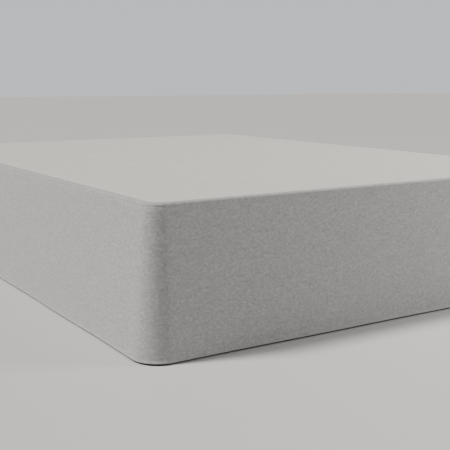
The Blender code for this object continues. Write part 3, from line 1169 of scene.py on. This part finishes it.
class BEDSKIRT_OT_cover_base(bpy.types.Operator):
    """Cover the box spring and set its welts"""

    bl_idname = "bed_skirt.cover_base"
    bl_label = "Cover the box spring"

    def execute(self, context):
        sizes = context.scene.bed_skirt_base
        ticking = woven_cloth("ticking_weave", sizes.side_shade, sizes.thread_pitch, heather=0.10,
                              mottle=0.07, slub=0.2, relief=0.00016)
        cover = build_base(sizes, ticking, fibre_cloth("under_cloth", sizes.under_shade))
        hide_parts("box_spring")
        values = {"Radius": sizes.welt, "Sides": 10, "Material": ticking}
        group = cord_group(values)
        sunk = 0.0004  # how deep a welt lies in the cover
        inset = sizes.welt + sunk
        counts = plan_counts(corner=10, ends=24, sides=32)
        outline = base_outline(inset, sizes.corner - inset, counts)
        for name, height in (("base_welt_top", BASE_HIGH.z - inset),
                             ("base_welt_low", BASE_LOW.z + inset)):
            path = [(x, y, height) for x, y in outline]
            grow(name, path, chain(path, closed=True), group, values)
        return {"FINISHED"}


class BEDSKIRT_OT_finish_frame(bpy.types.Operator):
    """Paint the steel frame, colour its glides and set its rivets"""

    bl_idname = "bed_skirt.finish_frame"
    bl_label = "Finish the bed frame"

    def execute(self, context):
        sizes = context.scene.bed_skirt_steel
        paint = painted_steel("frame_paint", sizes.paint)
        plastic = moulded_plastic("glide_plastic_finish", sizes.plastic)
        for name, node in frame["nodes"].items():
            if name.startswith(("side_rail", "cross_rail", "side_leg", "centre_leg")):
                node.material_slots[0].material = paint
            if name.startswith("glide"):
                node.material_slots[0].material = plastic
        points, facing = self.rivet_places()
        values = {"Radius": sizes.rivet, "Height": sizes.rivet_height, "Material": paint}
        grow("frame_rivets", points, [], rivet_group(values), values, facing)
        return {"FINISHED"}

    def rivet_places(self):
        """Two rivets where each cross rail meets each side, and two outside each rail."""
        leg_share, rail_shares = 0.08, (0.25, 0.62)
        offsets, rise = (-0.012, 0.012), 0.016
        points, facing = [], []
        for rail in CROSS_RAILS:
            low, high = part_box(rail)
            leg_face = low.y + (high.y - low.y) * leg_share
            for side, hand in ((-1.0, "left"), (1.0, "right")):
                leg_low, leg_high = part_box(f"side_leg_{hand}_{rail.split('_')[-1]}")
                middle = (leg_low + leg_high) / 2
                for share in rail_shares:
                    points.append((middle.x, leg_face, low.z + (high.z - low.z) * share))
                    facing.append((0.0, 1.0, 0.0))
                rail_low, rail_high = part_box("side_rail_" + hand)
                outside = rail_low.x if side < 0 else rail_high.x
                for offset in offsets:
                    points.append((outside, middle.y + offset, rail_low.z + rise))
                    facing.append((side, 0.0, 0.0))
        return points, facing


class BEDSKIRT_OT_set_stage(bpy.types.Operator):
    """Lay a plain floor, hang soft lights and place the camera"""

    bl_idname = "bed_skirt.set_stage"
    bl_label = "Set the stage"

    def execute(self, context):
        sizes = context.scene.bed_skirt_stage
        self.lay_floor(sizes)
        self.light_air(sizes)
        self.hang_light("window_light", "SUN", WINDOW_SHADE, sizes.key_way,
                        energy=sizes.key_power, angle=sizes.key_spread)
        for name, place, width, height, setting in FOOT_LIGHTS:
            light = self.hang_light(name, "AREA", LAMP_SHADE, LIT_PLACE - Vector(place),
                                    energy=getattr(sizes, setting), shape="RECTANGLE",
                                    size=width, size_y=height)
            light.location = place
        self.place_camera(context, sizes)
        return {"FINISHED"}

    def lay_floor(self, sizes):
        """A wide flat floor."""
        reach = 30.0
        mesh = bpy.data.meshes.new("studio_floor")
        mesh.from_pydata([(x * reach, y * reach, 0.0)
                          for x, y in ((-1, -1), (1, -1), (1, 1), (-1, 1))], [], [(0, 1, 2, 3)])
        mesh.materials.append(floor_finish("studio_floor", sizes.floor))
        floor = add_object("studio_floor", mesh)

    def light_air(self, sizes):
        """Light from all round, with a paler band at the height of the horizon."""
        world = bpy.data.worlds.new("studio_air")
        world.use_nodes = True
        tree = world.node_tree
        place = add_node(tree, "ShaderNodeTexCoord").outputs["Generated"]
        split = add_node(tree, "ShaderNodeSeparateXYZ", {0: place})
        band = add_node(tree, "ShaderNodeMapRange", {
            "Value": split.outputs["Z"], "From Min": HORIZON[0], "From Max": HORIZON[1],
            "To Min": sizes.band_power, "To Max": sizes.air_power,
        }, interpolation_type="SMOOTHERSTEP")
        background = tree.nodes["Background"]
        background.inputs["Color"].default_value = (*sizes.air, 1.0)
        feed(tree, background.inputs["Strength"], band.outputs["Result"])
        bpy.context.scene.world = world

    def hang_light(self, name, kind, shade, way, **settings):
        """A soft light that falls one way."""
        lamp = bpy.data.lights.new(name, kind)
        lamp.color = shade
        for setting, value in settings.items():
            setattr(lamp, setting, value)
        light = add_object(name, lamp)
        light.rotation_euler = Vector(way).to_track_quat("-Z", "Y").to_euler()
        return light

    def place_camera(self, context, sizes):
        """The camera at the near corner of the foot."""
        optics = bpy.data.cameras.new("studio_camera")
        optics.lens = sizes.lens
        optics.sensor_width = 36.0
        camera = add_object("studio_camera", optics)
        camera.location = sizes.eye
        camera.rotation_euler = Euler((math.pi / 2 - sizes.tilt, 0.0, -sizes.turn))
        context.scene.camera = camera


STEPS = (
    BEDSKIRT_OT_cover_base,
    BEDSKIRT_OT_hang_drop,
    BEDSKIRT_OT_lay_deck,
    BEDSKIRT_OT_sew_seams,
    BEDSKIRT_OT_finish_frame,
    BEDSKIRT_OT_set_stage,
)
SETTINGS = (
    ("bed_skirt_drop", DropSettings, "Drop"),
    ("bed_skirt_deck", DeckSettings, "Deck"),
    ("bed_skirt_sewing", SewingSettings, "Sewing"),
    ("bed_skirt_base", BaseSettings, "Box spring"),
    ("bed_skirt_steel", SteelSettings, "Bed frame"),
    ("bed_skirt_stage", StageSettings, "Stage"),
)


class BEDSKIRT_PT_sidebar(bpy.types.Panel):
    """Sizes, colours and steps of the bed skirt"""

    bl_idname = "BEDSKIRT_PT_sidebar"
    bl_label = "Bed skirt"
    bl_space_type = "VIEW_3D"
    bl_region_type = "UI"
    bl_category = "Bed skirt"

    def draw(self, context):
        for step in STEPS:
            self.layout.operator(step.bl_idname)
        for attribute, group, label in SETTINGS:
            box = self.layout.box()
            box.label(text=label)
            for name in group.__annotations__:
                box.prop(getattr(context.scene, attribute), name)


def register():
    """Register the settings, the steps and the sidebar."""
    for attribute, group, _ in SETTINGS:
        bpy.utils.register_class(group)
        setattr(bpy.types.Scene, attribute, PointerProperty(type=group))
    for step in STEPS:
        bpy.utils.register_class(step)
    bpy.utils.register_class(BEDSKIRT_PT_sidebar)


def unregister():
    """Take them out again."""
    bpy.utils.unregister_class(BEDSKIRT_PT_sidebar)
    for step in reversed(STEPS):
        bpy.utils.unregister_class(step)
    for attribute, group, _ in reversed(SETTINGS):
        delattr(bpy.types.Scene, attribute)
        bpy.utils.unregister_class(group)


def clear_start():
    """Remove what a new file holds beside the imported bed."""
    kept = set(frame["nodes"].values()) | set(frame["bodies"].values())
    for leftover in list(bpy.data.objects):
        if leftover not in kept:
            bpy.data.objects.remove(leftover, do_unlink=True)


def main():
    """Dress the bed and set the stage."""
    register()
    clear_start()
    bpy.ops.bed_skirt.cover_base()
    bpy.ops.bed_skirt.hang_drop()
    bpy.ops.bed_skirt.lay_deck()
    bpy.ops.bed_skirt.sew_seams()
    bpy.ops.bed_skirt.finish_frame()
    bpy.ops.bed_skirt.set_stage()


if __name__ == "__main__":
    main()
